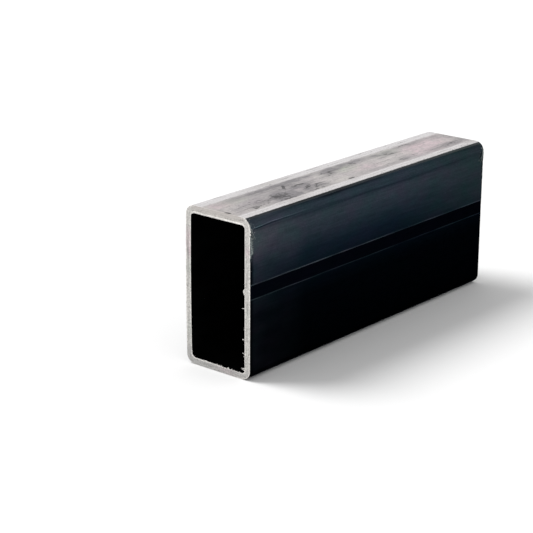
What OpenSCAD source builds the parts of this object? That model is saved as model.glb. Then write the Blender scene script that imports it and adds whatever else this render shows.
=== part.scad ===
// Rectangular steel tube, cold rolled from strip and welded along one seam.
// The length lies along Y. The tube stands on its narrow side, and the origin is
// the middle of that underside. All sizes are in millimetres.

/* [Section] */
// Height of the section, outside
section_h = 120; // [90:1:200]
// Width of the section, outside
section_w = 60; // [40:1:120]
// Thickness of the wall
wall = 5; // [2.5:0.1:6]
// Outside radius of the four rolled corners
corner_r = 7.5; // [7:0.5:12]

/* [Length] */
// Length between the two sawn ends
cut_length = 290; // [100:1:1000]

/* [Weld seam] */
// Height of the seam above the middle of the wide side
seam_offset = 6; // [-15:1:15]
// Width of the strip that was planed flush outside, over the seam
scarf_w = 10; // [4:0.5:14]
// Depth of that strip below the wide side
scarf_depth = 0.2; // [0.1:0.05:0.5]
// Width of the bead that stands along the seam inside
bead_w = 4.6; // [3:0.1:7]
// Height of that bead above the inside face
bead_h = 1.4; // [0.5:0.1:1.5]

/* [Hidden] */

// the inside corners follow the outside ones, and never come out quite sharp
sharpest_inside_r = 0.5;
inside_r = max(corner_r - wall, sharpest_inside_r);
inside_w = section_w - 2 * wall;
inside_h = section_h - 2 * wall;

seam_z = section_h / 2 + seam_offset;

// the bead is a slice of a circle that is bead_w wide and bead_h high
bead_r = (pow(bead_w / 2, 2) + pow(bead_h, 2)) / (2 * bead_h);

// how far a cutting or joining outline runs past the face that it meets
overrun = 1;

$fn = 96;

// Rectangle with round corners, centred on the section's middle line
module rounded_outline(w, h, r) {
    square([w - 2 * r, h], center = true);
    square([w, h - 2 * r], center = true);
    for (x = [-1, 1], z = [-1, 1])
        translate([x * (w / 2 - r), z * (h / 2 - r)])
            circle(r = r);
}

// Strip that the scarfing tool takes off outside, over the seam
module scarf_outline() {
    translate([section_w / 2 - scarf_depth, seam_z - scarf_w / 2])
        square([scarf_depth + overrun, scarf_w]);
}

// Weld bead left standing on the inside face, rooted in the wall behind it
module bead_outline() {
    inside_face = inside_w / 2;
    root = wall / 2;
    intersection() {
        translate([inside_face + bead_r - bead_h, seam_z])
            circle(r = bead_r);
        translate([inside_face - bead_h - overrun, seam_z - bead_w / 2])
            square([bead_h + overrun + root, bead_w]);
    }
}

// Whole section, seen along the tube with the underside at zero
module section() {
    difference() {
        translate([0, section_h / 2])
            rounded_outline(section_w, section_h, corner_r);
        translate([0, section_h / 2])
            rounded_outline(inside_w, inside_h, inside_r);
        scarf_outline();
    }
    bead_outline();
}

module tube() {
    color("#2b3238")
        translate([0, cut_length / 2, 0])
            rotate([90, 0, 0])
                linear_extrude(height = cut_length)
                    section();
}

tube();
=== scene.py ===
import math

import bpy
import numpy as np
from mathutils import Matrix, Vector


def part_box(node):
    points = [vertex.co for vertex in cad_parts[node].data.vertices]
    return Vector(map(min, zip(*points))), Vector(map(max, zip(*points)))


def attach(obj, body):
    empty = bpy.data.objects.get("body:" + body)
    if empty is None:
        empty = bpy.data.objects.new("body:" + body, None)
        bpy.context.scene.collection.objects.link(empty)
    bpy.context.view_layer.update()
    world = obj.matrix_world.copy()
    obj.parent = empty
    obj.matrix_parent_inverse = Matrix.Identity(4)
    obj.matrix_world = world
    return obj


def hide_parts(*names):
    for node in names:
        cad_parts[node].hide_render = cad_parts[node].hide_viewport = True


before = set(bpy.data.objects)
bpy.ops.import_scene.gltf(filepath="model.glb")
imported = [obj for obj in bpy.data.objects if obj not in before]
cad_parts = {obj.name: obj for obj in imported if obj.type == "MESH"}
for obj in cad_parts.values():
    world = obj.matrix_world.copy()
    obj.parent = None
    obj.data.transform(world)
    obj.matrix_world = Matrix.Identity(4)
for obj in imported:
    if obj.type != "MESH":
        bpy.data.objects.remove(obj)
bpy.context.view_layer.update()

mm = 0.001  # the scene is in metres, the sizes below are in millimetres

# the section and the length come from the frame
tubeLow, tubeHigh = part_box("tube")
sectionWidth = (tubeHigh.x - tubeLow.x) / mm
sectionHeight = (tubeHigh.z - tubeLow.z) / mm
tubeLength = (tubeHigh.y - tubeLow.y) / mm
frontEnd = tubeLow.y / mm
backEnd = tubeHigh.y / mm
midLength = (frontEnd + backEnd) / 2
print("frame:", round(sectionWidth), "x", round(sectionHeight), "x", round(tubeLength), "mm")


# colour and node helpers

def linearColour(hexText):
    # each sRGB channel c becomes c / 12.92 when it is low, and ((c + 0.055) / 1.055) ^ 2.4 above that
    channels = [int(hexText[i:i + 2], 16) / 255 for i in (1, 3, 5)]
    return [c / 12.92 if c <= 0.04045 else ((c + 0.055) / 1.055) ** 2.4 for c in channels] + [1.0]


def addNode(tree, kind, inputs=None, **settings):
    # an input is a plain value, a hex colour, an output, or a node that stands for its first output in use
    node = tree.nodes.new("ShaderNode" + kind)
    for name, value in settings.items():
        setattr(node, name, value)
    for name, value in (inputs or {}).items():
        if isinstance(value, bpy.types.Node):
            value = next(output for output in value.outputs if output.enabled)
        if isinstance(value, bpy.types.NodeSocket):
            tree.links.new(value, node.inputs[name])
        else:
            node.inputs[name].default_value = linearColour(value) if isinstance(value, str) else value
    return node


def newMaterial(name):
    # a material with an empty tree of nodes
    material = bpy.data.materials.new(name)
    material.use_nodes = True
    material.node_tree.nodes.clear()
    return material, material.node_tree


# mesh helpers

def stopsAlong(start, end, pitch, finePlaces=()):
    # the spacing is pitch, and falls to about finePitch round each fine place (where, reach, finePitch):
    # the number of stops per millimetre is summed along the way and cut into equal shares
    s = np.linspace(start, end, 4000)  # far closer than any pitch
    density = np.full_like(s, 1.0 / pitch)
    for where, reach, finePitch in finePlaces:
        density += np.exp(-((s - where) / reach) ** 4) / finePitch
    total = np.concatenate([[0.0], np.cumsum((density[1:] + density[:-1]) / 2 * np.diff(s))])
    count = max(2, int(round(total[-1])))
    return np.interp(np.linspace(0.0, total[-1], count + 1), total, s)


def roundedLoop(width, height, radius, cornerSteps, stopsX, stopsY):
    # the corner circles' centres make a smaller rectangle: a point stays on it while the outward
    # normal turns a quarter at each corner, and the outline is centre + radius * normal
    # it runs anticlockwise from the low right corner: right side up, top, left side down, bottom
    a, b = width / 2 - radius, height / 2 - radius
    quarter = np.linspace(0.0, math.pi / 2, cornerSteps + 1)[1:-1]
    centres, normals = [], []
    sides = [
        (np.full_like(stopsY, a), stopsY, 0.0),
        (stopsX[::-1], np.full_like(stopsX, b), 0.5),
        (np.full_like(stopsY, -a), stopsY[::-1], 1.0),
        (stopsX, np.full_like(stopsX, -b), 1.5),
    ]
    for sideX, sideY, turn in sides:
        turn *= math.pi
        centres.append(np.stack([sideX, sideY], 1))
        normals.append(np.tile([math.cos(turn), math.sin(turn)], (len(sideX), 1)))
        centres.append(np.tile([sideX[-1], sideY[-1]], (len(quarter), 1)))
        normals.append(np.stack([np.cos(turn + quarter), np.sin(turn + quarter)], 1))
    return np.concatenate(centres), np.concatenate(normals)


def valueNoise(points, cell, seed):
    # random values sit on a lattice with that cell size, and in between them a smoothstep
    # of each coordinate blends the eight nearest; the result lies between -1 and 1
    cell = np.broadcast_to(np.asarray(cell, float), 3)
    low = points.reshape(-1, 3).min(0)
    p = (points - low) / cell
    whole = np.floor(p).astype(int)
    part = p - whole
    part = part * part * (3 - 2 * part)
    lattice = np.random.default_rng(seed).uniform(-1, 1, whole.reshape(-1, 3).max(0) + 2)
    result = 0.0
    for dx in (0, 1):
        for dy in (0, 1):
            for dz in (0, 1):
                share = np.abs(1 - dx - part[..., 0]) * np.abs(1 - dy - part[..., 1])
                share = share * np.abs(1 - dz - part[..., 2])
                result = result + share * lattice[whole[..., 0] + dx, whole[..., 1] + dy, whole[..., 2] + dz]
    return result


def softStep(value, low, high):
    # 0 up to low, 1 from high, and 3 t^2 - 2 t^3 of the share t in between
    share = np.clip((value - low) / (high - low), 0, 1)
    return share * share * (3 - 2 * share)


def softPlateau(value, start, full, ebb, end):
    # the product of two soft steps: it rises from start to full, and falls from ebb to end
    return softStep(value, start, full) * softStep(value, end, ebb)


def gridFaces(rows, columns, closeRows=True, closeColumns=True):
    # four neighbours make a face, and a closed direction goes back to its first row or column
    i = np.arange(rows if closeRows else rows - 1)
    j = np.arange(columns if closeColumns else columns - 1)
    i, j = np.meshgrid(i, j, indexing="ij")
    nextI, nextJ = (i + 1) % rows, (j + 1) % columns
    return np.stack([i * columns + j, nextI * columns + j, nextI * columns + nextJ, i * columns + nextJ], -1)


def meshPiece(name, points, faces, wallPath, materials, faceMaterial=None):
    points, faces = points.reshape(-1, 3), faces.reshape(-1, 4)
    # six times the volume is a sum of triple products, one for each triangle and the origin, and its sign
    # tells whether the faces look outward; they are turned over when it comes out below zero
    first, second, third, fourth = np.moveaxis(points[faces], 1, 0)
    sixVolumes = np.einsum("ij,ij->", first, np.cross(second, third) + np.cross(third, fourth))
    if sixVolumes < 0:
        faces = faces[:, ::-1]
    mesh = bpy.data.meshes.new(name)
    mesh.from_pydata((points * mm).tolist(), [], faces.tolist())
    for material in materials:
        mesh.materials.append(material)
    if faceMaterial is not None:
        mesh.polygons.foreach_set("material_index", faceMaterial.ravel().astype(np.int32))
    mesh.polygons.foreach_set("use_smooth", np.ones(len(mesh.polygons), bool))
    # wallPath is how far round the section and how deep in the wall each point lies, in metres
    path = np.zeros((len(points), 3), np.float32)
    for k, value in enumerate(wallPath):
        path[:, k] = value.ravel() * mm
    mesh.attributes.new("wallPath", "FLOAT_VECTOR", "POINT").data.foreach_set("vector", path.ravel())
    mesh.update()
    piece = bpy.data.objects.new(name, mesh)
    bpy.context.scene.collection.objects.link(piece)
    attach(piece, "root")
    print("piece:", name, len(mesh.polygons), "faces")
    return piece


# the rolled strip, in mm

tubeWall = {
    "wall": 5.0,          # thickness of the rolled strip
    "cornerR": 7.5,       # outside radius of the section's corners
    "edgeBreak": 0.3,     # how far the saw's edges are rounded off
    "seamHeight": 66.0,   # middle of the weld seam above the underside
    "scarfWidth": 10.0,   # strip planed flush outside, over the seam
    "scarfDepth": 0.2,
    "scarfSlope": 0.15,   # half the width of the step along the strip's edges
    "beadWidth": 4.6,     # weld bead left standing inside
    "beadHeight": 1.4,
    "rollWaves": 0.06,    # how far the rolled faces wander from flat
    "rollCells": (9.0, 60.0, 9.0),    # length of those waves across, along and up
    "leftBulge": 0.5,     # how far the left side stands out at half height
    "sawWaves": 0.05,     # how far the sawn ends wander
    "sawCells": (6.0, 50.0, 6.0),
    "paintedLitAndWornTurn": 40,     # degrees: the material's copy with the brighter glance, painted light on the top, goes down the corners until they have turned by this
    # how far a face's two normals look along the tube where the cut begins: at the bore, and outside
    "cutFrom": (1.7, 0.9),
    # spacing of the mesh round the section, along the tube and through the wall
    "sidePitch": 1.5,
    "lengthPitch": 3.0,
    "depthPitch": 0.3,
    # where it is finer: how far that reaches from the strip's edges, the bead and the ends, and the spacing
    "finerAtScarf": (0.6, 0.2),
    "finerAtBead": (0.6, 0.4),
    "finerAtEnds": (2.5, 0.5),
    "cornerSteps": 14,    # steps in the quarter turn of a corner
    "edgeSteps": 4,       # and of a sawn edge
}


def sideBulge(x, z):
    # -leftBulge * (1 - (height from the middle / half the flat side)^2) on the left side, none past the flat
    share = 1 - ((z - sectionHeight / 2) / (sectionHeight / 2 - tubeWall["cornerR"])) ** 2
    return -tubeWall["leftBulge"] * np.clip(share, 0, None) * (x < 0)


# material helpers

def noiseLayers(tree, coords, layers, shares):
    # each layer is name: (cell across, along and up in mm, detail), and its noise runs from 0 to 1 about 0.5
    # each share is name: (layer, two values of its noise, the share at either), evenly in between
    noise = {}
    for name, (across, along, up, detail) in layers.items():
        stretch = [1 / (side * mm) for side in (across, along, up)]
        stretched = addNode(tree, "Mapping", {"Vector": coords, "Scale": stretch})
        noise[name] = addNode(tree, "TexNoise", {
            "Vector": stretched, "Scale": 1.0, "Detail": detail, "Roughness": 0.55}).outputs[0]
    for name, (layer, low, high, atLow, atHigh) in shares.items():
        noise[name] = addNode(tree, "MapRange", {
            "Value": noise[layer], "From Min": low, "From Max": high, "To Min": atLow, "To Max": atHigh})
    return noise


def patchSum(tree, coords, start, patches):
    # the sum of strength * (1 - distance from the middle in half sizes), each patch fading out at its rim
    # a patch lies across and along the first two coordinates, and along is counted from start
    total = 0.0
    for across, along, halfWidth, halfLength, turn, strength in patches:
        local = addNode(tree, "Mapping", {
            "Vector": coords,
            "Location": (across * mm, (start + along) * mm, 0),
            "Rotation": (0, 0, math.radians(turn)),
            "Scale": (halfWidth * mm, halfLength * mm, 1.0)}, vector_type="TEXTURE")
        patch = addNode(tree, "TexGradient", {"Vector": local}, gradient_type="SPHERICAL")
        total = addNode(tree, "Math", {0: patch.outputs["Fac"], 1: strength, 2: total},
                        operation="MULTIPLY_ADD")
    return total


def layTones(tree, colour, tones):
    # each tone covers what is under it as far as its factor says
    for factor, tone in tones:
        colour = addNode(tree, "Mix", {"Factor": factor, "A": colour, "B": tone}, data_type="RGBA")
    return colour


def overLimit(tree, noise, patches, limit):
    # a mark shows where the noise, plus pull * patches, is over a limit: none at low, and share at high
    pull, low, high, share = limit
    mark = addNode(tree, "Math", {0: patches, 1: pull, 2: noise}, operation="MULTIPLY_ADD")
    return addNode(tree, "MapRange", {"Value": mark, "From Min": low, "From Max": high, "To Max": share})


def rangeOf(stops, start=0.0, way=1):
    # where a range begins and is full, in metres, from two stops in mm that are counted from start
    low, high = (start + way * stop for stop in stops)
    return {"From Min": low * mm, "From Max": high * mm}


# steel as it left the rolls, in mm; a pair is where something begins and where it is full

millSteel = {
    # dark side, from the floor up: height and colour; near-black low down and darker under the fold and
    # under the top corner, all painted shade
    "sideTones": [
        (0, "#020508"), (48, "#04080c"), (62, "#081015"), (74, "#141c23"), (82, "#182129"), (90, "#222b32"),
        (97, "#2b333a"), (106, "#333a41"), (109, "#2e363d"), (111, "#222a31"), (113, "#2d373e"),
        (115.5, "#2d373f"), (117.6, "#29333a"), (118.8, "#181d21"), (119.5, "#13181c")],
    "sideWaver": 6.0,             # how far in all the streaks lift and lower those tones
    "greenCloud": (0.9, 1.05, 1.0, 1.0),     # soft clouds multiply the side's red, green and blue
    "purpleCloud": (1.16, 0.98, 1.08, 1.0),
    "frontPaintedLight": "#47494f",       # painted light: lighter and less blue near the front end
    "frontShare": 0.9,
    "frontReach": (62, 0),        # from that end
    "frontHeights": (72, 104),
    "frontLeast": 0.15,           # share of it below those heights
    "frontFade": (110, 113),      # it fades on the corner, between these heights
    "frontFaded": 0.3,
    "backCast": "#2c3536",        # greener towards the back
    "backShare": 0.7,
    "backReach": (120, 5),
    "backHeights": (60, 80),
    "endPaintedShade": "#05080a",         # painted shade beside the front cut, low on the side
    "endShare": 0.9,
    "endReach": (4.5, 2),
    "endHeights": (100, 84),
    # seam side
    "seamDark": "#070a10",        # the planed strip
    "seamSoft": 0.2,              # its edges fade over this to both sides
    "sideDepth": 1.0,             # how far inside the section's width a point still lies on this side
    # the thin bright lines along the strip's edges are painted highlights
    "seamHighlight": "#3f464b",
    # painted highlights along the strip: 1 above or -1 below it, how far beyond its edge, half width,
    # strength
    "seamLines": [(-1, 0.3, 0.35, 0.35), (1, 0.45, 0.5, 1.0)],
    "seamFade": (40, 160),        # they fade between these, from the front end
    "seamFaded": 0.55,
    # a painted highlight along a fold line high on both sides
    "foldHighlight": "#56646d",
    "foldShade": "#1a232a",       # and a painted shade under it
    "foldHeight": 113.6,
    "foldDroop": 1.1,             # how much lower the line is at the front end
    "foldDroopReach": 25,
    "foldHalf": 0.3,              # half width of the line
    "shadeHalf": 0.5,             # and of the shade
    "shadeBelow": 1.0,
    "foldShare": 0.9,
    "foldReach": (72, 10),
    "foldStart": (2, 7),
    # filings caught in the oil near the ends
    "filing": "#8b8c8a",
    "filingReach": (14.0, 0.5),
    "filingHeights": (96.0, 104.0),
    "filingLimit": (0.24, 0.8, 0.9, 0.8),    # as for the marks on the top, below
    # top, painted pale: painted light from above, under stains and scuffs
    "topCool": "#b3acae",
    "topWarm": "#c5c0bd",
    "pinkStain": "#cbbabe",
    "greenStain": "#b0b3a8",
    "greyStain": "#858184",
    "nearCut": "#bab4b1",         # last few millimetres before the front cut
    "nearCutReach": (6.0, 1.0),
    "nearCutShare": 0.7,
    # pale bands along both edges of the top are painted highlights, with duller grey lines in them
    "bandHighlight": "#dad7d8",
    "bandGrey": "#c2bebd",
    "leftBand": (-12.4, -16.0),   # across the top
    "rightBand": (18.7, 20.7),
    "bandWander": 2.4,
    "bandDip": 21.7,              # a duller line inside the right band
    "dipReach": (1.1, 0.3),       # from that line
    "dipShare": 0.6,
    "paintedLitHeightLeft": 118.4,       # the top's painted light ends on the corners, lower on the left
    "paintedLitHeightRight": 119.62,
    "paintedLitRagged": 0.25,            # how far the grain lowers that end
    "paintedLitSoft": (0.02, 0.22),
    "brushLine": "#6c686a",
    "scuffDark": "#353134",
    "oilDark": "#332d2c",
    # of marks: how much their patches lower the limit, the noise where one begins and is full, and its share
    "brushLimit": (0.2, 0.6, 0.7, 0.6),
    "scuffLimit": (0.22, 0.59, 0.7, 0.9),
    # patches on the top: across, along from the front end, half width, half length, turn, strength
    "greyStains": [
        (-11, 58, 6.5, 62, 0, 1.15), (-11, 160, 6.5, 80, 0, 1.2), (3, 68, 17, 42, 0, 1.1),
        (9, 63, 10, 18, 0, 2.0), (-12, 94, 5, 26, 0, 1.4), (-12, 250, 5, 36, 0, 1.0),
        (13, 64, 6, 18, 0, 1.9), (-1, 92, 9, 24, 0, 0.9), (11, 96, 8, 22, 0, 0.95),
        (13, 266, 8, 40, 0, 0.9), (7.5, 14, 3.4, 14, 0, 0.6), (16.3, 70, 2.2, 64, 0, 1.0),
        (-6, 134, 8, 26, 20, 1.2), (-6, 206, 7, 20, 0, 0.7), (12, 206, 6, 16, 0, 0.8),
        (15, 180, 3.5, 60, 0, 0.5), (-8, 282, 8, 16, 0, 0.8), (6, 286, 14, 9, 0, 0.9)],
    "pinkStains": [
        (0, 250, 20, 46, 12, 1.6), (-8, 12, 9, 15, 0, 1.4), (5, 165, 12, 24, 0, 0.8),
        (4, 84, 10, 20, 0, 0.7)],
    "greenStains": [(-5, 150, 12, 19, 0, 1.3), (-9, 207, 8, 24, 0, 1.2), (-8, 28, 9, 26, 0, 0.8)],
    "bandStains": [
        (20, 62, 7, 24, 0, 1.3), (19.5, 285, 5, 12, 0, 2.0), (-20, 78, 7, 40, 0, 1.1),
        (19, 35, 3, 16, 0, 0.5)],
    "brushed": [
        (9, 36, 9, 34, 0, 1.3), (-1, 90, 8, 20, 0, 1.1), (10, 98, 7, 18, 0, 1.2),
        (-5, 134, 6, 20, 20, 1.0), (12, 262, 6, 30, 0, 0.9), (-4, 205, 8, 20, 0, 0.8),
        (-11, 60, 5, 40, 0, 0.8)],
    "scuffs": [
        (9, 61, 10, 14, 0, 1.0), (6, 55, 5, 7, 0, 0.4), (6, 40, 5, 22, 0, 0.65),
        (13.5, 34, 3, 24, 0, 0.85), (-6, 79, 1.9, 8, 52, 1.7), (-4.6, 77, 1.9, 3.6, 40, 1.1),
        (-1.6, 89, 1.9, 9, 3, 1.4), (-1.2, 94, 1.7, 4, 5, 0.8), (7, 91, 2.6, 10, 32, 1.3),
        (10.5, 98, 2.4, 10, 38, 1.3), (12, 106, 2.5, 6, 20, 0.7), (-5, 133, 4, 15, 26, 0.8),
        (-8, 126, 1.6, 7, 40, 0.8), (16.4, 132, 1.7, 5, 0, 1.5), (14, 124, 3, 8, 0, 0.6),
        (-8, 166, 4, 10, 10, 0.7), (-6, 206, 6, 14, 8, 0.7), (-3, 212, 1.6, 6, 30, 0.6),
        (12, 202, 3.6, 8, 0, 0.8), (11, 221, 3.5, 8, 0, 0.6), (11, 262, 5, 14, 0, 0.7),
        (13, 276, 4, 10, 0, 0.5), (-13, 238, 2, 14, 0, 0.7), (-5, 285, 6, 6, 0, 0.6),
        (16, 24, 1.7, 4.5, 0, 1.4), (16.4, 57, 1.5, 14, 0, 1.2), (16.2, 92, 1.3, 24, 0, 0.7)],
    "oilSpots": [(8.4, 1.2, 3.4, 1.9, 10, 3.0), (1.5, 2.5, 6, 0.8, 6, 0.6)],
    # noise cells across, along and up, and detail; hair and grain are drawn coarser than the real roll
    # lines, a tenth of a millimetre apart, so that they show
    "noises": {
        "cloud": (22, 40, 22, 3), "haze": (30, 22, 14, 4), "blotch": (5.0, 9.0, 5.0, 5),
        "smear": (1.9, 6.0, 1.9, 8), "fleck": (1.8, 3.4, 1.8, 6), "streak": (2.6, 90, 2.6, 3),
        "hair": (1.0, 28, 1.0, 2), "grain": (1.1, 1.5, 1.1, 3), "fine": (0.5, 0.9, 0.5, 2)},
    # what is made of them: layer, two values of its noise, and the share at either
    "shares": {
        "warmth": ("cloud", 0.38, 0.62, 0.0, 1.0),
        "castCloud": ("cloud", 0.3, 0.6, 0.35, 1.0),
        "hueCloud": ("haze", 0.36, 0.64, 0.0, 1.0),
        "stainStrength": ("blotch", 0.33, 0.67, 0.3, 1.3),
        "mottle": ("smear", 0.5, 0.74, 0.0, 0.5),
        "lineBreaks": ("hair", 0.35, 0.6, 0.3, 1.0),
        "bandLines": ("hair", 0.45, 0.7, 0.0, 0.7),
        "sideShade": ("hair", 0.3, 0.7, 0.87, 1.13),
        "topShade": ("blotch", 0.3, 0.7, 0.88, 1.12),
        "topStreaks": ("streak", 0.3, 0.7, 0.92, 1.08),
        "grainShade": ("grain", 0.25, 0.75, 0.84, 1.16),
        "roughness": ("blotch", 0.3, 0.7, 0.36, 0.5)},
    "scuffHair": 0.25,            # share of hair among the flecks of the scuffs
    "bumpHair": 0.6,              # height of the hair for each of the fine layer
    "bumpStrength": 0.35,
    "bumpDepth": 0.03,
    # light thrown back at a glance: the oxide swallows some of it on the side; the upward faces' copy throws
    # all of it back, painted light on the top
    "sideGlance": "#989ca2",
    "litTopGlance": "#ffffff",
}


def oxideAndPaintedShading(tree, y, z, noise):
    # the tones go up the side, tone = ramp((z + waver * (streak - 0.5)) / height of the section), painted
    # shade low down, and three casts lie over them, each as strong as its reach along the tube times its
    # heights, the front one cloudy: painted light at the front, greener steel at the back, painted shade
    # beside the front cut
    m = millSteel
    waver = m["sideWaver"] * mm
    height = addNode(tree, "Math", {0: noise["streak"], 1: waver, 2: z}, operation="MULTIPLY_ADD")
    level = addNode(tree, "MapRange", {
        "Value": height, "From Min": waver / 2, "From Max": waver / 2 + sectionHeight * mm})
    ramp = addNode(tree, "ValToRGB", {"Fac": level})
    stops = ramp.color_ramp.elements
    while len(stops) < len(m["sideTones"]):
        stops.new(1.0)
    for stop, (where, tone) in zip(stops, m["sideTones"]):
        stop.position = where / sectionHeight
        stop.color = linearColour(tone)

    near = addNode(tree, "MapRange", {
        "Value": y, **rangeOf(m["frontReach"], frontEnd), "To Max": m["frontShare"]})
    high = addNode(tree, "MapRange", {"Value": z, **rangeOf(m["frontHeights"]), "To Min": m["frontLeast"]},
                   interpolation_type="SMOOTHSTEP")
    fade = addNode(tree, "MapRange", {
        "Value": z, **rangeOf(m["frontFade"]), "To Min": 1.0, "To Max": m["frontFaded"]})
    for factor in (high, noise["castCloud"], fade):
        near = addNode(tree, "Math", {0: near, 1: factor}, operation="MULTIPLY")
    casts = [(near, m["frontPaintedLight"])]
    for name, tone, start, way in (("back", "backCast", backEnd, -1), ("end", "endPaintedShade", frontEnd, 1)):
        cast = addNode(tree, "MapRange", {
            "Value": y, **rangeOf(m[name + "Reach"], start, way), "To Max": m[name + "Share"]})
        rise = addNode(tree, "MapRange", {"Value": z, **rangeOf(m[name + "Heights"])})
        casts.append((addNode(tree, "Math", {0: cast, 1: rise}, operation="MULTIPLY"), m[tone]))
    return layTones(tree, ramp, casts)


def seamStrip(tree, colour, x, y, z, noise):
    # a black planed strip over the weld between two thin bright lines, which are painted highlights, and a
    # fold line with its shade high on both sides, a painted highlight over a painted shade; a line is 1 up
    # to half its width from its height, and it is multiplied by a noise that breaks it up and by its fading
    # along the tube
    m = millSteel
    reach = tubeWall["scarfWidth"] / 2
    onSide = addNode(tree, "Math", {0: x, 1: (sectionWidth / 2 - m["sideDepth"]) * mm},
                     operation="GREATER_THAN")
    offSeam = addNode(tree, "Math", {0: z, 1: tubeWall["seamHeight"] * mm}, operation="SUBTRACT")
    fromSeam = addNode(tree, "Math", {0: offSeam}, operation="ABSOLUTE")
    strip = addNode(tree, "MapRange", {"Value": fromSeam, **rangeOf((m["seamSoft"], -m["seamSoft"]), reach)})
    strip = addNode(tree, "Math", {0: strip, 1: onSide}, operation="MULTIPLY")
    line = 0.0
    for way, beyond, half, strength in m["seamLines"]:
        where = way * (reach + beyond) * mm
        on = addNode(tree, "Math", {0: offSeam, 1: where, 2: half * mm}, operation="COMPARE")
        line = addNode(tree, "Math", {0: on, 1: strength, 2: line}, operation="MULTIPLY_ADD")
    fading = addNode(tree, "MapRange", {
        "Value": y, **rangeOf(m["seamFade"], frontEnd), "To Min": 1.0, "To Max": m["seamFaded"]})
    for factor in (noise["lineBreaks"], fading, onSide):
        line = addNode(tree, "Math", {0: line, 1: factor}, operation="MULTIPLY")

    foldHeight = addNode(tree, "MapRange", {
        "Value": y, **rangeOf((0, m["foldDroopReach"]), frontEnd),
        "To Min": (m["foldHeight"] - m["foldDroop"]) * mm, "To Max": m["foldHeight"] * mm})
    offFold = addNode(tree, "Math", {0: z, 1: foldHeight}, operation="SUBTRACT")
    fold = addNode(tree, "Math", {0: offFold, 1: 0.0, 2: m["foldHalf"] * mm}, operation="COMPARE")
    under = addNode(tree, "Math", {0: offFold, 1: -m["shadeBelow"] * mm, 2: m["shadeHalf"] * mm},
                    operation="COMPARE")
    foldFading = addNode(tree, "MapRange", {
        "Value": y, **rangeOf(m["foldReach"], frontEnd), "To Max": m["foldShare"]})
    foldStart = addNode(tree, "MapRange", {"Value": y, **rangeOf(m["foldStart"], frontEnd)})
    foldFading = addNode(tree, "Math", {0: foldFading, 1: foldStart}, operation="MULTIPLY")
    for factor in (noise["lineBreaks"], foldFading):
        fold = addNode(tree, "Math", {0: fold, 1: factor}, operation="MULTIPLY")
    under = addNode(tree, "Math", {0: under, 1: foldFading}, operation="MULTIPLY")
    return layTones(tree, colour, [
        (strip, m["seamDark"]), (line, m["seamHighlight"]), (under, m["foldShade"]), (fold, m["foldHighlight"])])


def caughtFilings(tree, colour, y, z, noise):
    # pale specks in the oil, where the grain is over a limit that falls near the sawn ends, high on the side
    m = millSteel
    fromMiddle = addNode(tree, "Math", {0: y}, operation="ABSOLUTE")
    near = addNode(tree, "MapRange", {"Value": fromMiddle, **rangeOf(m["filingReach"], backEnd, -1)})
    high = addNode(tree, "MapRange", {"Value": z, **rangeOf(m["filingHeights"])})
    near = addNode(tree, "Math", {0: near, 1: high}, operation="MULTIPLY")
    speck = overLimit(tree, noise["grain"], near, m["filingLimit"])
    return layTones(tree, colour, [(speck, m["filing"])])


def paintedLitAndWornFace(tree, coords, x, y, noise):
    # the top's painted light, cool and warm clouds, under pink, green and grey stains, an even tone at the
    # front cut, pale bands along both edges that are painted highlights, with duller lines and stains in
    # them, then brush lines, scuffs and oil spots
    m = millSteel
    tones = [(noise["warmth"], m["topWarm"])]
    for name in ("pinkStain", "greenStain", "greyStain"):
        patches = patchSum(tree, coords, frontEnd, m[name + "s"])
        stain = addNode(tree, "Math", {0: patches, 1: noise["stainStrength"]}, operation="MULTIPLY")
        tones.append((stain, m[name]))
    tones.append((noise["mottle"], m["greyStain"]))
    middle = layTones(tree, m["topCool"], tones)
    for shade in ("topShade", "topStreaks"):
        middle = addNode(tree, "VectorMath", {0: middle, "Scale": noise[shade]}, operation="SCALE")
    nearCut = addNode(tree, "MapRange", {
        "Value": y, **rangeOf(m["nearCutReach"], frontEnd), "To Max": m["nearCutShare"]})

    # a line in a band is the most of a streaky noise, the dip and the stains
    wander = addNode(tree, "Math", {0: noise["blotch"], 1: m["bandWander"] * mm, 2: x},
                     operation="MULTIPLY_ADD")
    band = 0.0
    for name in ("leftBand", "rightBand"):
        side = addNode(tree, "MapRange", {"Value": wander, **rangeOf(m[name])},
                       interpolation_type="SMOOTHSTEP")
        band = addNode(tree, "Math", {0: side, 1: band}, operation="ADD")
    fromDip = addNode(tree, "Math", {0: x, 1: m["bandDip"] * mm}, operation="SUBTRACT")
    fromDip = addNode(tree, "Math", {0: fromDip}, operation="ABSOLUTE")
    dip = addNode(tree, "MapRange", {"Value": fromDip, **rangeOf(m["dipReach"]), "To Max": m["dipShare"]})
    line = noise["bandLines"]
    for factor in (dip, patchSum(tree, coords, frontEnd, m["bandStains"])):
        line = addNode(tree, "Math", {0: line, 1: factor}, operation="MAXIMUM")
    bandLine = addNode(tree, "Math", {0: band, 1: line}, operation="MULTIPLY")
    tones = [(nearCut, m["nearCut"]), (band, m["bandHighlight"]), (bandLine, m["bandGrey"])]

    flecks = addNode(tree, "Mix", {"Factor": m["scuffHair"], "A": noise["fleck"], "B": noise["hair"]})
    brushed = patchSum(tree, coords, frontEnd, m["brushed"])
    scuffed = patchSum(tree, coords, frontEnd, m["scuffs"])
    oiled = patchSum(tree, coords, frontEnd, m["oilSpots"])
    return layTones(tree, middle, tones + [
        (overLimit(tree, noise["hair"], brushed, m["brushLimit"]), m["brushLine"]),
        (overLimit(tree, flecks, scuffed, m["scuffLimit"]), m["scuffDark"]), (oiled, m["oilDark"])])


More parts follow.
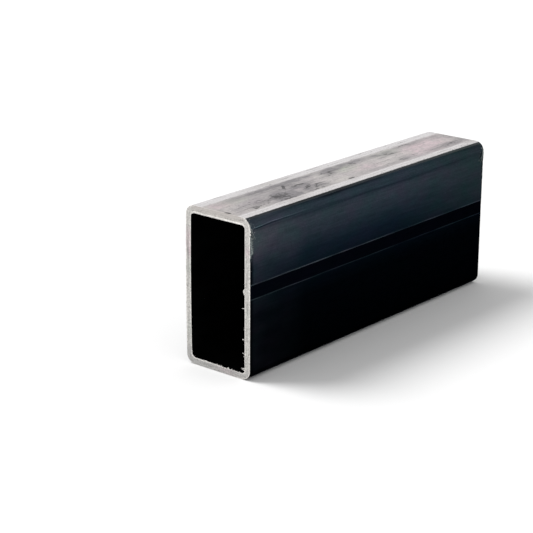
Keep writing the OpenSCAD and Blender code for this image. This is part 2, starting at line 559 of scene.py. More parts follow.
def makeMillSteel(name, glance):
    # cold rolled steel strip that kept its dark oxide and a film of oil: a satin blue-black skin with soft
    # green and purple clouds, almost black where the weld was planed, and a pale warm grey on top that is
    # painted light, with stains and scuffs on it
    m = millSteel
    material, tree = newMaterial(name)
    coords = addNode(tree, "TexCoord").outputs["Object"]
    x, y, z = addNode(tree, "SeparateXYZ", {"Vector": coords}).outputs
    noise = noiseLayers(tree, coords, m["noises"], m["shares"])

    dark = oxideAndPaintedShading(tree, y, z, noise)
    dark = seamStrip(tree, dark, x, y, z, noise)
    dark = addNode(tree, "VectorMath", {0: dark, "Scale": noise["sideShade"]}, operation="SCALE")
    clouds = layTones(tree, m["greenCloud"], [(noise["hueCloud"], m["purpleCloud"])])
    dark = addNode(tree, "VectorMath", {0: dark, 1: clouds}, operation="MULTIPLY")
    dark = caughtFilings(tree, dark, y, z, noise)
    pale = paintedLitAndWornFace(tree, coords, x, y, noise)

    # the height above the end of the top's painted light, ragged by the grain, mixes the pale top into the
    # dark side
    paintedLitHeight = addNode(tree, "MapRange", {
        "Value": x, **rangeOf((-sectionWidth / 2, sectionWidth / 2)),
        "To Min": m["paintedLitHeightLeft"] * mm, "To Max": m["paintedLitHeightRight"] * mm})
    above = addNode(tree, "Math", {0: z, 1: paintedLitHeight}, operation="SUBTRACT")
    above = addNode(tree, "Math", {0: noise["grain"], 1: m["paintedLitRagged"] * mm, 2: above},
                    operation="MULTIPLY_ADD")
    paintedLitAndWorn = addNode(tree, "MapRange", {"Value": above, **rangeOf(m["paintedLitSoft"])})
    colour = layTones(tree, dark, [(paintedLitAndWorn, pale)])
    colour = addNode(tree, "VectorMath", {0: colour, "Scale": noise["grainShade"]}, operation="SCALE")
    bumps = addNode(tree, "Math", {0: noise["hair"], 1: m["bumpHair"], 2: noise["fine"]},
                    operation="MULTIPLY_ADD")
    bump = addNode(tree, "Bump", {
        "Height": bumps, "Strength": m["bumpStrength"], "Distance": m["bumpDepth"] * mm})
    shader = addNode(tree, "BsdfPrincipled", {
        "Base Color": colour, "Metallic": 1.0, "Roughness": noise["roughness"], "Normal": bump,
        "Specular Tint": glance})
    addNode(tree, "OutputMaterial", {"Surface": shader})
    return material


# the sawn ends, in mm; a pair is where something begins and where it is full

sawnSteel = {
    "middle": "#c1bfbb",
    "rimHighlight": "#e2dfdb",           # painted highlight along both edges of the wall
    "rimWidth": 1.2,
    "rimSoft": 0.9,             # it comes in over this
    "rimWander": 1.0,           # and a noise moves it within this
    "rimOnFoot": (0.1, 0.75),   # what is left of it in the shaded foot: of the outer rim, and of the inner
    "rimTop": (3.5, 1.5),       # it ends between these, below the top
    "topTone": "#b8b3af",       # duller along the top wall
    "topFrom": (7, 4),          # below the top
    "topShare": 0.75,
    "calmFrom": (4, 1),         # and with few marks nearest the top
    "calmShare": 0.8,
    "topCorner": (20, 27),      # these heights rise by topRise towards both corners, this far off the middle
    "topRise": 5,
    "shade": "#aaa9a7",         # the foot, shaded up to
    "shadeLeft": 17.0,          # this height on the left wall
    "shadeRight": 2.5,          # and on the right
    "shadeSoft": (-1, 6),       # below those heights
    "footHeights": (7.5, 4),    # the whole floor of the section is in it
    "shadeFade": (12, 27),      # it fades to the right between these, to shadeFaded
    "shadeFaded": 0.35,
    "pinkCast": "#cbb8bd",
    "greenCast": "#b0b6ae",
    "streak": "#949291",
    "pit": "#827f7d",
    # patches on the cut: across, up, half width, half height, turn, strength
    "streaks": [
        (-28.3, 84, 1.3, 34, 0, 1.3), (-28.0, 30, 1.1, 24, 0, 0.5), (27.6, 78, 1.1, 10, 0, 0.6),
        (27.8, 55, 1.2, 9, 0, 0.7)],
    "pinkPatches": [
        (-28, 94, 4, 11, 0, 1.4), (-27, 84, 3, 6, 0, 0.7), (28, 95, 4, 6, 0, 0.7),
        (8, 2.5, 15, 3, 0, 0.35)],
    "greenPatches": [
        (-28, 74, 4, 7, 0, 0.9), (-28, 26, 4, 12, 0, 0.6), (27.6, 50, 3, 9, 0, 0.6),
        (27.6, 22, 3, 7, 0, 0.2)],
    # noise cells across, along and up; the pits are drawn coarser than the real ones, so that they show
    "noises": {"cloud": (9, 50, 9, 4), "speck": (1.5, 50, 1.5, 4)},
    "shares": {"patchStrength": ("cloud", 0.35, 0.65, 0.3, 1.2), "pits": ("speck", 0.56, 0.68, 0.0, 0.7)},
    # and round the section, through the wall and out of the cut
    "pathNoises": {"drag": (12, 0.9, 50, 3), "grit": (1.5, 1.2, 50, 4), "edge": (2.2, 40, 50, 4)},
    "pathShares": {"dragShade": ("drag", 0.3, 0.7, 0.82, 1.18), "gritShade": ("grit", 0.3, 0.7, 0.74, 1.26)},
    "roughness": 0.38,
    "bumpPits": 0.5,            # height of the specks for each of the drag
    "bumpStrength": 0.4,
    "bumpDepth": 0.05,
}


def makeSawnSteel():
    # steel freshly cut by a band saw: bare and bright, dragged by the teeth into streaks that follow the
    # wall, pitted, and brightest along both edges, a painted highlight where the edges catch the light
    m = sawnSteel
    material, tree = newMaterial("sawnSteel")
    path = addNode(tree, "Attribute", attribute_name="wallPath").outputs["Vector"]
    coords = addNode(tree, "TexCoord").outputs["Object"]
    depth = addNode(tree, "SeparateXYZ", {"Vector": path}).outputs["Y"]
    apart = addNode(tree, "SeparateXYZ", {"Vector": coords}).outputs
    x, z = apart["X"], apart["Z"]
    noise = noiseLayers(tree, coords, m["noises"], m["shares"])
    noise.update(noiseLayers(tree, path, m["pathNoises"], m["pathShares"]))

    # the rims start a rim's width from either edge, and the noise moves that by half of rimWander each way
    half = tubeWall["wall"] / 2
    fromMiddle = addNode(tree, "Math", {0: depth, 1: half * mm}, operation="SUBTRACT")
    fromMiddle = addNode(tree, "Math", {0: fromMiddle}, operation="ABSOLUTE")
    fromMiddle = addNode(tree, "Math", {0: noise["edge"], 1: m["rimWander"] * mm, 2: fromMiddle},
                         operation="MULTIPLY_ADD")
    rimStart = half - m["rimWidth"] + m["rimWander"] / 2
    rimHighlight = addNode(tree, "MapRange", {"Value": fromMiddle, **rangeOf((0, m["rimSoft"]), rimStart)},
                  interpolation_type="SMOOTHSTEP")

    # the foot is shaded up to a height that falls from the left wall to the right one
    shadeHeight = addNode(tree, "MapRange", {
        "Value": x, **rangeOf((-sectionWidth / 2, sectionWidth / 2)),
        "To Min": m["shadeLeft"] * mm, "To Max": m["shadeRight"] * mm})
    low = addNode(tree, "Math", {0: shadeHeight, 1: z}, operation="SUBTRACT")
    low = addNode(tree, "MapRange", {"Value": low, **rangeOf(m["shadeSoft"])},
                  interpolation_type="SMOOTHSTEP")
    foot = addNode(tree, "MapRange", {"Value": z, **rangeOf(m["footHeights"])})
    low = addNode(tree, "Math", {0: low, 1: foot}, operation="MAXIMUM")
    rightward = addNode(tree, "MapRange", {
        "Value": x, **rangeOf(m["shadeFade"]), "To Min": 1.0, "To Max": m["shadeFaded"]})
    low = addNode(tree, "Math", {0: low, 1: rightward}, operation="MULTIPLY")

    # the top's tones keep to the top wall, because their heights rise by topRise towards the corners
    sideways = addNode(tree, "Math", {0: x}, operation="ABSOLUTE")
    onCorner = addNode(tree, "MapRange", {"Value": sideways, **rangeOf(m["topCorner"])})
    level = addNode(tree, "Math", {0: onCorner, 1: -m["topRise"] * mm, 2: z}, operation="MULTIPLY_ADD")
    top = addNode(tree, "MapRange", {
        "Value": level, **rangeOf(m["topFrom"], sectionHeight, -1), "To Max": m["topShare"]})
    calm = addNode(tree, "MapRange", {
        "Value": level, **rangeOf(m["calmFrom"], sectionHeight, -1), "To Max": m["calmShare"]})
    rimTop = addNode(tree, "MapRange", {
        "Value": level, **rangeOf(m["rimTop"], sectionHeight, -1), "To Min": 1.0, "To Max": 0.0})
    outerShare, innerShare = m["rimOnFoot"]
    rimShare = addNode(tree, "MapRange", {
        "Value": depth, **rangeOf((-0.5, 0.5), half), "To Min": outerShare, "To Max": innerShare})
    rimFoot = addNode(tree, "MapRange", {"Value": low, "To Min": 1.0, "To Max": rimShare})
    for factor in (rimTop, rimFoot):
        rimHighlight = addNode(tree, "Math", {0: rimHighlight, 1: factor}, operation="MULTIPLY")

    # each patch is uneven in strength, and the tones are laid in this order
    tones = [(top, m["topTone"]), (low, m["shade"]), (rimHighlight, m["rimHighlight"])]
    onCut = addNode(tree, "CombineXYZ", {"X": x, "Y": z})
    for name, tone in (("pinkPatches", "pinkCast"), ("greenPatches", "greenCast"), ("streaks", "streak")):
        patches = patchSum(tree, onCut, 0, m[name])
        patches = addNode(tree, "Math", {0: patches, 1: noise["patchStrength"]}, operation="MULTIPLY")
        tones.append((patches, m[tone]))
    colour = layTones(tree, m["middle"], tones + [(noise["pits"], m["pit"])])
    for shade in ("dragShade", "gritShade"):
        colour = addNode(tree, "VectorMath", {0: colour, "Scale": noise[shade]}, operation="SCALE")
    colour = layTones(tree, colour, [(calm, m["topTone"])])
    bumps = addNode(tree, "Math", {0: noise["speck"], 1: m["bumpPits"], 2: noise["drag"]},
                    operation="MULTIPLY_ADD")
    bump = addNode(tree, "Bump", {
        "Height": bumps, "Strength": m["bumpStrength"], "Distance": m["bumpDepth"] * mm})
    shader = addNode(tree, "BsdfPrincipled", {
        "Base Color": colour, "Metallic": 1.0, "Roughness": m["roughness"], "Normal": bump})
    addNode(tree, "OutputMaterial", {"Surface": shader})
    return material


boreScaleAndShade = {
    # near-black: the oxide, and painted shade of the deep bore
    "black": "#050608",
    "dusty": "#101214",
    "roughness": 0.62,
    "glance": "#3c3e40",    # light thrown back at a glance, dulled by the oxide
    "bumpStrength": 0.4,
    "bumpDepth": 0.06,      # mm
    "noises": {"cloud": (12, 30, 12, 4), "grain": (1.2, 1.6, 1.2, 3)},
    "shares": {"dust": ("cloud", 0.4, 0.7, 0.0, 1.0)},
}


def makeBoreScaleAndShade():
    # the inside of the strip, never cleaned after welding: dull black oxide with a little dust on it,
    # darkened further as painted shade inside the deep bore
    m = boreScaleAndShade
    material, tree = newMaterial("boreScaleAndShade")
    coords = addNode(tree, "TexCoord").outputs["Object"]
    noise = noiseLayers(tree, coords, m["noises"], m["shares"])
    colour = layTones(tree, m["black"], [(noise["dust"], m["dusty"])])
    bump = addNode(tree, "Bump", {
        "Height": noise["grain"], "Strength": m["bumpStrength"], "Distance": m["bumpDepth"] * mm})
    shader = addNode(tree, "BsdfPrincipled", {
        "Base Color": colour, "Metallic": 1.0, "Roughness": m["roughness"], "Normal": bump,
        "Specular Tint": m["glance"]})
    addNode(tree, "OutputMaterial", {"Surface": shader})
    return material


tornSteel = {
    # the dull greys are painted shade
    "grey": "#687070",
    "dark": "#3d4544",
    "bright": "#a2a8a5",
    "roughness": 0.35,
    "noises": {"cloud": (2.5, 2.5, 2.5, 3), "speck": (0.8, 0.8, 0.8, 3)},
    "shares": {"dark": ("cloud", 0.5, 0.3, 0.0, 1.0), "bright": ("speck", 0.55, 0.68, 0.0, 1.0)},
}


def makeTornSteel():
    # burrs torn out of the wall and bent back: a dull greenish grey, darker than the cut as painted shade on
    # the bent burrs, with bright specks
    m = tornSteel
    material, tree = newMaterial("tornSteel")
    coords = addNode(tree, "TexCoord").outputs["Object"]
    noise = noiseLayers(tree, coords, m["noises"], m["shares"])
    colour = layTones(tree, m["grey"], [(noise["dark"], m["dark"]), (noise["bright"], m["bright"])])
    shader = addNode(tree, "BsdfPrincipled", {
        "Base Color": colour, "Metallic": 1.0, "Roughness": m["roughness"]})
    addNode(tree, "OutputMaterial", {"Surface": shader})
    return material


millSteelMaterial = makeMillSteel("millFinishSteel", millSteel["sideGlance"])
# the upward faces get a copy with a white glance: painted light on the top
paintedLitAndWornSteelMaterial = makeMillSteel("paintedLitAndWornMillSteel", millSteel["litTopGlance"])
sawnSteelMaterial = makeSawnSteel()
boreScaleAndShadeMaterial = makeBoreScaleAndShade()
tornSteelMaterial = makeTornSteel()
print("materials: made")


# the tube

def makeTube():
    # a rounded rectangle of wall x length, carried round the rounded rectangle of the section:
    # point = corner centre + (corner radius - depth) * outward normal, and y is the profile's own
    t = tubeWall
    seam = t["seamHeight"] - sectionHeight / 2
    finerZ = [(seam + side * t["scarfWidth"] / 2, *t["finerAtScarf"]) for side in (-1, 1)]
    beadReach, beadPitch = t["finerAtBead"]
    finerZ.append((seam, t["beadWidth"] / 2 + beadReach, beadPitch))
    a = sectionWidth / 2 - t["cornerR"]
    b = sectionHeight / 2 - t["cornerR"]
    stopsX = stopsAlong(-a, a, t["sidePitch"])
    stopsZ = stopsAlong(-b, b, t["sidePitch"], finerZ)
    centre, normal = roundedLoop(sectionWidth, sectionHeight, t["cornerR"], t["cornerSteps"], stopsX, stopsZ)

    edge = t["edgeBreak"]
    c = t["wall"] / 2 - edge
    d = tubeLength / 2 - edge
    finerY = [(side * d, *t["finerAtEnds"]) for side in (-1, 1)]
    stopsDepth = stopsAlong(-c, c, t["depthPitch"])
    stopsY = stopsAlong(-d, d, t["lengthPitch"], finerY)
    ring, facing = roundedLoop(t["wall"], tubeLength, edge, t["edgeSteps"], stopsDepth, stopsY)
    ring = ring + edge * facing

    # the ring's first coordinate runs from -wall/2 on the bore's side to wall/2 outside
    share = (0.5 - ring[:, 0] / t["wall"])[None, :]
    y = (ring[:, 1] + midLength)[None, :]

    # the planed strip lies scarfDepth low between two soft steps
    onSeamSide = normal[:, 0] > 0.999  # the flat, where the normal looks straight to the right
    fromSeam = np.abs(centre[:, 1] - seam)
    low = softStep(t["scarfWidth"] / 2 - fromSeam, -t["scarfSlope"], t["scarfSlope"])
    outer = np.where(onSeamSide, t["scarfDepth"] * low, 0.0)[:, None]
    # the bead is a slice of a circle, beadWidth wide and beadHeight high
    beadR = ((t["beadWidth"] / 2) ** 2 + t["beadHeight"] ** 2) / (2 * t["beadHeight"])
    rise = np.sqrt(np.clip(beadR ** 2 - fromSeam ** 2, 0, None)) - (beadR - t["beadHeight"])
    inner = np.where(onSeamSide, np.clip(rise, 0, None), 0.0)[:, None] + t["wall"]
    depth = outer + (inner - outer) * share

    x = centre[:, :1] + (t["cornerR"] - depth) * normal[:, :1]
    z = centre[:, 1:] + (t["cornerR"] - depth) * normal[:, 1:] + sectionHeight / 2
    points = np.stack([x, np.broadcast_to(y, x.shape), z], -1)

    # low waves left by the rolls, and the saw's wander on the ends, both pushed inwards only
    waves = t["rollWaves"] * (valueNoise(points, t["rollCells"], 11) - 1) / 2
    wander = t["sawWaves"] * (valueNoise(points, t["sawCells"], 12) - 1) / 2
    lift = waves * np.abs(facing[:, 0])[None, :] + wander * np.abs(facing[:, 1])[None, :]
    points[..., 0] += lift * facing[None, :, 0] * normal[:, :1]
    points[..., 2] += lift * facing[None, :, 0] * normal[:, 1:]
    points[..., 1] += lift * facing[None, :, 1]
    points[..., 0] += sideBulge(points[..., 0], points[..., 2])

    # a face is on the cut where its two normals look far enough along the tube, together up to 2:
    # the cut keeps to the flat at the bore, and takes in most of the rounding outside
    faces = gridFaces(*points.shape[:2])
    lengthwise = np.abs(facing[:, 1]) + np.abs(np.roll(facing, -1, 0)[:, 1])
    endFace = lengthwise > np.where(facing[:, 0] < 0, *t["cutFrom"])
    boreFace = (facing[:, 0] + np.roll(facing, -1, 0)[:, 0]) < 0
    # faces that look up steeply enough get the copy with the brighter glance, painted light on the top
    upFace = (normal[:, 1] + np.roll(normal[:, 1], -1)) / 2 > math.cos(math.radians(t["paintedLitAndWornTurn"]))
    faceMaterial = np.where(endFace, 1, np.where(boreFace, 2, np.where(upFace[:, None], 3, 0)))
    # the path round the section is measured along the middle of the wall
    around = centre + (t["cornerR"] - t["wall"] / 2) * normal
    around = np.cumsum(np.hypot(*(around - np.roll(around, 1, 0)).T))[:, None]
    wallPath = (np.broadcast_to(around, x.shape), np.broadcast_to(share * t["wall"], x.shape))
    materials = [millSteelMaterial, sawnSteelMaterial, boreScaleAndShadeMaterial, paintedLitAndWornSteelMaterial]
    piece = meshPiece("tube_wall", points, faces, wallPath, materials, faceMaterial)
    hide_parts("tube")


makeTube()


# burrs left by the saw on the ends' edges, in mm; a pair of places is where something begins and is full

sawBurrs = {
    "pitch": 0.3,          # mesh spacing along an edge
    "rooted": 0.35,        # how far a burr starts inside the wall
    # a lip in section, from the cut round its tip: shares of its reach, and of its thickness behind the cut
    "lipReach": (0, 0.7, 1, 0.7, 0),
    "lipBack": (0.03, 0.02, 0.45, 1.0, 1.0),
    "lipThickness": 0.35,
    "lipLean": 0.12,       # how far a lip leans back from the cut for each mm of reach
    "sunk": 0.3,           # where there is no burr, its tip stays this deep in the wall
    # round the bore
    "boreTeeth": 1.0,      # tallest tooth along the floor
    "boreCells": (1.1, 0.55),            # noise cells along the edge, coarse and fine
    "boreNoise": (-0.15, 1.0, 0.0, 1.0),   # how the noise shapes a lip: even part, swing, least and most
    "toothPower": 1.3,
    "floorHeights": (12, 5),
    "seamTeeth": 0.35,     # share of that height on the seam side
    "seamAcross": (24, 25),
    "seamHeights": (100, 60),
    "otherTeeth": 0.05,    # and elsewhere
    "boreLip": 0.3,        # even part of the lip along the floor
    "boreLipAcross": (18, -18),
    "roofLip": 0.85,       # a lip hanging from the roof
    "roofFrom": (8, 5.5),  # below the top of the section
    # round the outside
    "outerLip": 0.1,       # lip up both walls
    "outerNoise": (0.8, 0.5, 0.0, 2.0),
    "outerAcross": (26, 29.5),
    "highAcross": (27, 29),              # the lumps and the film are only on the seam side
    "lumps": 0.65,         # a lumpy lip high up, broken by notches
    "lumpCells": (1.7, 0.8),
    "lumpNoise": (0.8, 0.6, 0.3, 1.0),
    "lumpHeights": (98, 102, 113, 117),  # it rises between the first two and falls between the last two
    "notches": [(112.4, 0.45), (109.8, 0.4), (104.6, 0.3), (101.2, 0.3)],  # height, half width
    "tornLip": 0.8,        # a torn film below it, where the saw broke out
    "tornCells": (2.2, 0.8),
    "tornNoise": (0.9, 0.7, 0.2, 1.45),
    "tornHeights": (88, 95, 104, 109),
    "tornLean": 2.2,       # which is bent back along the side
    "tornLeast": 0.12,     # share of the film from which a face shows torn steel
    "backShare": 0.4,      # share of both at the back end
    "tallest": 1.0,        # no lip outside is taller
    # single slivers inside the seam side: height, length, thickness, droop, and how much the tip swells
    "slivers": [(53.6, 3.2, 1.2, -0.3, 0.0), (30.3, 2.3, 1.5, 0.0, 1.0), (8.6, 4.0, 1.1, -0.05, 0.1),
                (7.4, 2.6, 1.0, 0.1, 0.0), (19.6, 2.4, 0.6, 0.15, 0.6), (38.2, 1.2, 0.6, 0.0, 0.0),
                (17.6, 1.7, 0.6, -0.2, 0.5), (72.5, 0.9, 0.6, -0.1, 0.0)],
    "backHeights": (8, 100),     # at the back end their heights are drawn at random
    "backLengths": (0.5, 1.1),   # and so are the shares of their lengths
    "sliverRoot": 0.2,     # they start this deep in the wall
    "sliverBehind": 0.4,   # and this far behind the cut
    "sliverStray": 0.1,    # how far their headings stray along the tube and up, for each mm across
    # fine strands outside, each heading outwards, back and down by these, then curling back and sagging
    "strands": 70,
    "strandRoot": 0.1,
    "strandBehind": (0.1, 0.5),
    "strandLength": (0.5, 1.8),
    "strandRadius": (0.1, 0.26),
    "strandOut": 0.6,
    "strandBack": (0.4, 2.4),
    "strandDown": (-0.3, 0.5),
    "strandCurl": (0.1, 0.4),
    "strandSag": (-0.3, 0.2),
    "strandAcross": 24,    # all stand further right than this
    # tufts of strands: height, half height, share of the strands
    "tufts": [(115.5, 1.0, 0.05), (111.5, 1.0, 0.08), (106.5, 1.6, 0.2), (102.5, 2.2, 0.3),
              (97.0, 1.5, 0.16), (93.0, 1.2, 0.08), (89.0, 1.0, 0.05), (100.0, 9.0, 0.15)],
    "tuftSpread": 0.6,     # standard deviation of their heights for each half height
    # long hairs of swarf hanging beside the edge: height, length, how far back and down they head
    "hairs": [(115.2, 11.5, 0.34, 0.95), (114.0, 9.5, 0.42, 0.9), (112.0, 7.0, 0.3, 0.9),
              (109.0, 5.5, 0.8, 0.7)],
    "hairRadius": 0.36,
    "hairOut": 0.3,
    "hairCurl": 0.08,
}


def edgeLoop(outside):
    # the sawn end's outer or inner edge, a rounded rectangle with the left side's bulge on it:
    # its points, its direction out of the wall, and the length so far
    t, pitch = tubeWall, sawBurrs["pitch"]
    inset = 0.0 if outside else t["wall"]
    width, height, radius = sectionWidth - 2 * inset, sectionHeight - 2 * inset, t["cornerR"] - inset
    stopsX = stopsAlong(radius - width / 2, width / 2 - radius, pitch)
    stopsZ = stopsAlong(radius - height / 2, height / 2 - radius, pitch)
    cornerSteps = int(radius / pitch * 1.6) + 2  # a quarter turn is about 1.6 radii long
    centre, normal = roundedLoop(width, height, radius, cornerSteps, stopsX, stopsZ)
    edge = centre + radius * normal
    along = np.cumsum(np.hypot(*(edge - np.roll(edge, 1, 0)).T))
    edge = edge + [0, sectionHeight / 2]
    edge[:, 0] += sideBulge(edge[:, 0], edge[:, 1])
    return edge, normal if outside else -normal, along


def ragged(along, cells, seed):
    # noise along an edge in two cell sizes, the finer one a little weaker
    place = np.stack([along, 0 * along, 0 * along], 1)
    coarse, fine = cells
    return valueNoise(place, coarse, seed) + 0.65 * valueNoise(place, fine, seed + 1)


def uneven(noise, even, swing, least, most):
    # even + swing * noise, kept between least and most
    return np.clip(even + swing * noise, least, most)


def makeLip(name, side, outside, shapeAt):
    # a thin wedge set on the edge: its tip stands height out of the wall and leans back from the cut
    b = sawBurrs
    edge, out, along = edgeLoop(outside)
    height, torn = shapeAt(edge, along)
    height, lean = height[:, None], (b["lipLean"] + b["tornLean"] * torn)[:, None]
    reach = -b["rooted"] + (height + b["rooted"]) * np.array([b["lipReach"]])
    back = b["lipThickness"] * np.array([b["lipBack"]]) + lean * np.clip(reach, 0, None)
    x = edge[:, :1] + reach * out[:, :1]
    z = edge[:, 1:] + reach * out[:, 1:]
    y = side * (tubeLength / 2 - back) + midLength
    depth = 0.5 if outside else tubeWall["wall"]  # so that the cut's finish gives it the painted highlight of the rim
    wallPath = (np.broadcast_to(along[:, None], x.shape), np.full(x.shape, depth))
    tornFace = np.broadcast_to((torn > b["tornLeast"])[:, None], x.shape).astype(int)
    meshPiece(name, np.stack([x, y, z], -1), gridFaces(*x.shape), wallPath,
              [sawnSteelMaterial, tornSteelMaterial], tornFace)


def makeSlivers(name, side, roots, headings, droops, lengths, radii, swells, material):
    # each one is a bent six-sided needle, 0.7 as thick one way as the other:
    # root + length * (heading * t + droop * t^2), and its thickness falls with (1 - 0.92 t)^0.6,
    # or swells with the sine of 0.95 pi t^2 on those that end in a bead
    # roots and headings have the depth behind the cut in the place of y
    t = np.linspace(0, 1, 9)[None, :, None, None]
    turns = np.arange(6) * math.pi / 3 + 0.4
    turns = turns[None, :, None]
    headings = headings / np.linalg.norm(headings, axis=1, keepdims=True)
    across = np.cross(headings, [0.3, 0.2, 1.0])  # a direction that no heading has
    across = across / np.linalg.norm(across, axis=1, keepdims=True)
    third = np.cross(headings, across)
    ring = np.cos(turns) * across[:, None, :] + 0.7 * np.sin(turns) * third[:, None, :]
    spine = headings[:, None, None, :] * t + droops[:, None, None, :] * t * t
    points = roots[:, None, None, :] + lengths[:, None, None, None] * spine
    swell = swells[:, None, None, None]
    needle, bead = (1 - 0.92 * t) ** 0.6, 0.2 + 0.8 * np.sin(0.95 * math.pi * t * t)
    points = points + ring[:, None] * radii[:, None, None, None] * ((1 - swell) * needle + swell * bead)
    points[..., 1] = side * (tubeLength / 2 - points[..., 1]) + midLength

    # the six points at either end are closed by two faces
    count, rows, columns = points.shape[:3]
    sides = gridFaces(rows, columns, closeRows=False).reshape(-1, 4)
    foot = np.array([[0, 1, 2, 3], [0, 3, 4, 5]])
    caps = np.concatenate([foot, (rows - 1) * columns + foot[:, ::-1]])
    faces = np.concatenate([sides, caps])[None] + np.arange(count)[:, None, None] * rows * columns
    wallPath = (points[..., 2], np.zeros(points.shape[:3]))  # height stands for the way round the section
    meshPiece(name, points, faces, wallPath, [material])


def makeBurrs(endName, side, seed):
    # two lips along the whole edges, then slivers in the bore and feathers outside, rooted at their heights
    b = sawBurrs
    random = np.random.default_rng(seed)

    def boreShape(edge, along):
        # teeth of uneven noise to the power toothPower, tallest along the floor and lower on the seam side,
        # on an even lip that fades from left to right along the floor, and a lip that hangs from the roof
        floor = softStep(edge[:, 1], *b["floorHeights"])
        seamSide = softStep(edge[:, 0], *b["seamAcross"]) * softStep(edge[:, 1], *b["seamHeights"])
        roof = softStep(sectionHeight - edge[:, 1], *b["roofFrom"])
        teeth = uneven(ragged(along, b["boreCells"], seed + 1), *b["boreNoise"]) ** b["toothPower"]
        even = (b["sunk"] + b["roofLip"] * (1 + 0.1 * teeth)) * roof
        even = even + (b["sunk"] + b["boreLip"]) * floor * softStep(edge[:, 0], *b["boreLipAcross"])
        share = floor + b["seamTeeth"] * seamSide + b["otherTeeth"]
        return b["boreTeeth"] * share * teeth + even - b["sunk"], np.zeros_like(along)

    def outerShape(edge, along):
        # a lip up both walls, with lumps and below them a torn film high on the seam side:
        # each is its height times its places times uneven noise, less of the last two at the back end
        walls = softStep(np.abs(edge[:, 0]), *b["outerAcross"])
        seamSide = softStep(edge[:, 0], *b["highAcross"])
        torn = softPlateau(edge[:, 1], *b["tornHeights"]) * seamSide
        lumpy = softPlateau(edge[:, 1], *b["lumpHeights"]) * seamSide
        noise = ragged(along, b["tornCells"], seed + 3)
        lumps = uneven(ragged(along, b["lumpCells"], seed + 5), *b["lumpNoise"])
        where, half = np.array(b["notches"]).T
        lumps = lumps * (1 - np.exp(-((edge[:, 1:] - where) / half) ** 2).max(1))
        share = b["backShare"] if side > 0 else 1.0
        height = (b["sunk"] + b["outerLip"] * uneven(noise, *b["outerNoise"])) * walls
        height = height + share * b["lumps"] * lumpy * lumps
        height = height + share * b["tornLip"] * torn * uneven(noise, *b["tornNoise"])
        return np.minimum(height - b["sunk"], b["tallest"]), torn

    makeLip("bore_burr_" + endName, side, False, boreShape)
    makeLip("edge_burr_" + endName, side, True, outerShape)

    # single slivers, each rooted in the bore's wall on the seam side and pointing into the bore
    s = np.array(b["slivers"])
    count, zeros = len(s), np.zeros(len(s))
    if side > 0:
        s[:, 0] = random.uniform(*b["backHeights"], count)
        s[:, 1] *= random.uniform(*b["backLengths"], count)
    rootX = sectionWidth / 2 - tubeWall["wall"] + b["sliverRoot"]
    roots = np.stack([zeros + rootX, zeros + b["sliverBehind"], s[:, 0]], 1)
    stray = random.uniform(-b["sliverStray"], b["sliverStray"], (2, count))
    headings = np.stack([zeros - 1, *stray], 1)
    droops = np.stack([zeros, zeros, s[:, 3]], 1)
    makeSlivers("slivers_" + endName, side, roots, headings, droops, s[:, 1], s[:, 2] / 2, s[:, 4],
                sawnSteelMaterial)

    # feathers stand in tufts and are bent back along the side, with a few long hairs among them
    count = b["strands"]
    edge, out, along = edgeLoop(True)
    middles, reaches, shares = np.array(b["tufts"]).T
    tuft = random.choice(len(middles), count, p=shares / shares.sum())
    hairHeights, hairLengths, hairBack, hairDown = np.array(b["hairs"]).T

    def withHairs(strandValues, hairValues):
        # one value for each strand, then one for each hair
        return np.concatenate([strandValues, np.broadcast_to(hairValues, len(hairHeights))])

    # each roots at the point of the edge nearest to its height, on the upper half of the seam side
    heights = withHairs(random.normal(middles[tuft], reaches[tuft] * b["tuftSpread"]), hairHeights)
    stretch = np.flatnonzero((edge[:, 0] > b["strandAcross"]) & (edge[:, 1] > sectionHeight / 2))
    pick = stretch[np.abs(edge[stretch, 1][None, :] - heights[:, None]).argmin(1)]
    x, z = (edge[pick] - b["strandRoot"] * out[pick]).T
    roots = np.stack([x, random.uniform(*b["strandBehind"], len(pick)), z], 1)
    back = withHairs(random.uniform(*b["strandBack"], count), hairBack)
    down = withHairs(random.uniform(*b["strandDown"], count), hairDown)
    outward = withHairs(b["strandOut"] * out[pick[:count], 0], b["hairOut"])
    headings = np.stack([outward, back, withHairs(out[pick[:count], 1], 0.0) - down], 1)
    curl = withHairs(random.uniform(*b["strandCurl"], count), b["hairCurl"])
    droops = np.stack([-outward / 2, curl, random.uniform(*b["strandSag"], len(pick))], 1)
    lengths = withHairs(random.uniform(*b["strandLength"], count), hairLengths)
    radii = withHairs(random.uniform(*b["strandRadius"], count), b["hairRadius"])
    makeSlivers("feathers_" + endName, side, roots, headings, droops, lengths, radii, 0 * lengths,
                tornSteelMaterial)


makeBurrs("front", -1, 21)
makeBurrs("back", 1, 57)


# floor and light

studio = {
    "floorSize": 12.0,        # metres
    "floorColour": "#f4f4f4",
    "floorGlow": 0.02,
    "worldLight": 0.6,        # the world is 1 to the eye and in the metal, and this to what it lights
    "sunFrom": (-1.0, -0.4, 1.5),
    "sunSpread": 28.0,        # degrees, for soft shadows
    "sunStrength": 0.5,       # the part that the metal mirrors too
    "shadowStrength": 1.8,    # and the part that only the floor takes
}


def seenShare(tree):
    # 1 for a ray from the camera, in a mirror or through glass, and 0 for light on its way to a surface
    path = addNode(tree, "LightPath").outputs
    seen = addNode(tree, "Math", {0: path["Is Camera Ray"], 1: path["Is Glossy Ray"]}, operation="MAXIMUM")
    return addNode(tree, "Math", {0: seen, 1: path["Is Transmission Ray"]}, operation="MAXIMUM")


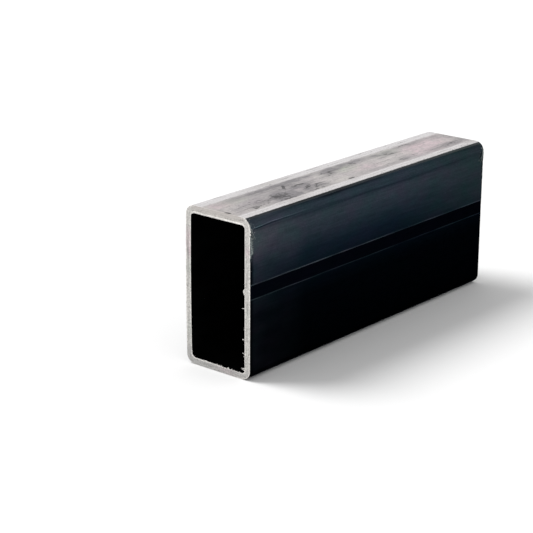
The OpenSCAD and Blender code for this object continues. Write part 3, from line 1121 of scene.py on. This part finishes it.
def makeStage():
    # a flat square at height 0, which throws back the lamps' light and adds a little glow where it is seen,
    # under an even white world
    s = studio
    material, tree = newMaterial("paleFloor")
    glow = addNode(tree, "Math", {0: seenShare(tree), 1: s["floorGlow"]}, operation="MULTIPLY")
    lit = addNode(tree, "BsdfDiffuse", {"Color": s["floorColour"]})
    own = addNode(tree, "Emission", {"Color": "#ffffff", "Strength": glow})
    addNode(tree, "OutputMaterial", {"Surface": addNode(tree, "AddShader", {0: lit, 1: own})})

    half = s["floorSize"] / 2
    mesh = bpy.data.meshes.new("floor")
    corners = [(-half, -half, 0), (half, -half, 0), (half, half, 0), (-half, half, 0)]
    mesh.from_pydata(corners, [], [(0, 1, 2, 3)])
    mesh.materials.append(material)
    floor = bpy.data.objects.new("floor", mesh)
    bpy.context.scene.collection.objects.link(floor)

    world = bpy.data.worlds.new("studio")
    bpy.context.scene.world = world
    world.use_nodes = True
    tree = world.node_tree
    tree.nodes.clear()
    strength = addNode(tree, "MapRange", {
        "Value": seenShare(tree), "To Min": s["worldLight"], "To Max": 1.0})
    sky = addNode(tree, "Background", {"Color": "#ffffff", "Strength": strength})
    addNode(tree, "OutputWorld", {"Surface": sky})


def makeSun(name, strength, mirrored):
    # a sun whose light comes down the line from sunFrom to the origin
    s = studio
    light = bpy.data.lights.new(name, "SUN")
    light.energy = strength
    light.angle = math.radians(s["sunSpread"])
    sun = bpy.data.objects.new(name, light)
    sun.rotation_mode = "QUATERNION"
    sun.rotation_quaternion = Vector(s["sunFrom"]).to_track_quat("Z", "Y")
    sun.location = s["sunFrom"]
    sun.visible_glossy = mirrored
    bpy.context.scene.collection.objects.link(sun)


makeStage()
makeSun("softSun", studio["sunStrength"], True)
makeSun("shadowSun", studio["shadowStrength"], False)
print("stage: made")


# camera, fitted to the tube's edges in a square picture

view = {
    "place": (765.011, -999.878, 457.118),  # mm, from the middle of the underside
    "yaw": 40.104,     # degrees to the left of the tube's length
    "pitch": 18.218,   # degrees down
    "roll": 0.3011,    # degrees round the line of sight
    "lens": 115.874,   # mm, on a sensor this wide
    "sensor": 36.0,
}


def makeCamera():
    # the line of sight is turned by yaw round the upright and tipped down by pitch, and the picture's right
    # and top are the level line and its upright to that sight, both turned by roll
    v = view
    yaw, pitch, roll = (math.radians(v[key]) for key in ("yaw", "pitch", "roll"))
    forward = Vector((-math.sin(yaw) * math.cos(pitch), math.cos(yaw) * math.cos(pitch), -math.sin(pitch)))
    level = Vector((math.cos(yaw), math.sin(yaw), 0))
    upward = level.cross(forward)
    right = level * math.cos(roll) + upward * math.sin(roll)
    top = upward * math.cos(roll) - level * math.sin(roll)
    data = bpy.data.cameras.new("camera")
    data.lens = v["lens"]
    data.sensor_width = v["sensor"]
    camera = bpy.data.objects.new("camera", data)
    turn = Matrix((right, top, -forward)).transposed().to_4x4()
    camera.matrix_world = Matrix.Translation(Vector(v["place"]) * mm) @ turn
    bpy.context.scene.collection.objects.link(camera)
    bpy.context.scene.camera = camera


makeCamera()
bpy.context.scene.view_settings.view_transform = "Standard"
print("camera: made")

print("scene: made")
